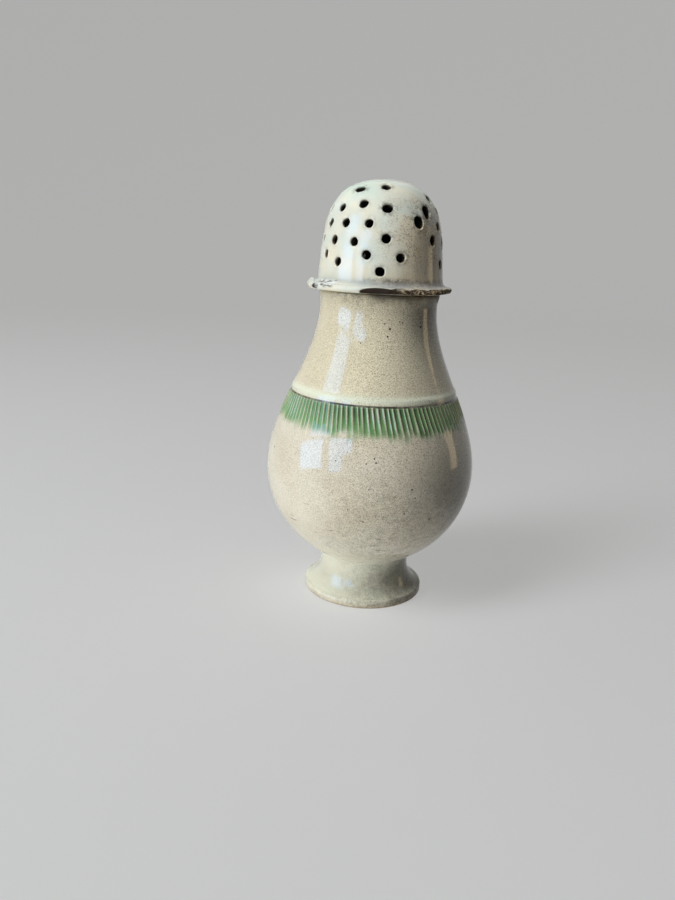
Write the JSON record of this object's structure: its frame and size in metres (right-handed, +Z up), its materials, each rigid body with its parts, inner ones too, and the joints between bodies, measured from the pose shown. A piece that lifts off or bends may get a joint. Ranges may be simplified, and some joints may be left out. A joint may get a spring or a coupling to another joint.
{
  "type": "pepper pot",
  "caption": "Baluster pepper pot of glazed earthenware with a pierced domed top on a flange, a reeded green band, a spreading foot and a cork bung that closes the filling hole underneath.",
  "frame": {"origin": "middle of the ring that the foot stands on", "axes": "+Z up along the axis of the pot, -Y towards the side that the picture shows"},
  "size_m": [0.0614, 0.0614, 0.12],
  "materials": {
    "pot_glaze": "glossy cream glaze with fine brown specks and a green reeded band",
    "top_glaze": "glossy pale cream glaze with chips at the flange",
    "cork": "dry natural cork"
  },
  "bodies": {
    "pot": {"pot_body": "pot_glaze", "domed_top": "top_glaze"},
    "cork": {"cork_bung": "cork"}
  },
  "joints": [
    {"name": "cork_pull", "type": "slide", "parent": "pot", "child": "cork", "axis": [0, 0, -1], "range_m": [0, 0.022]}
  ]
}
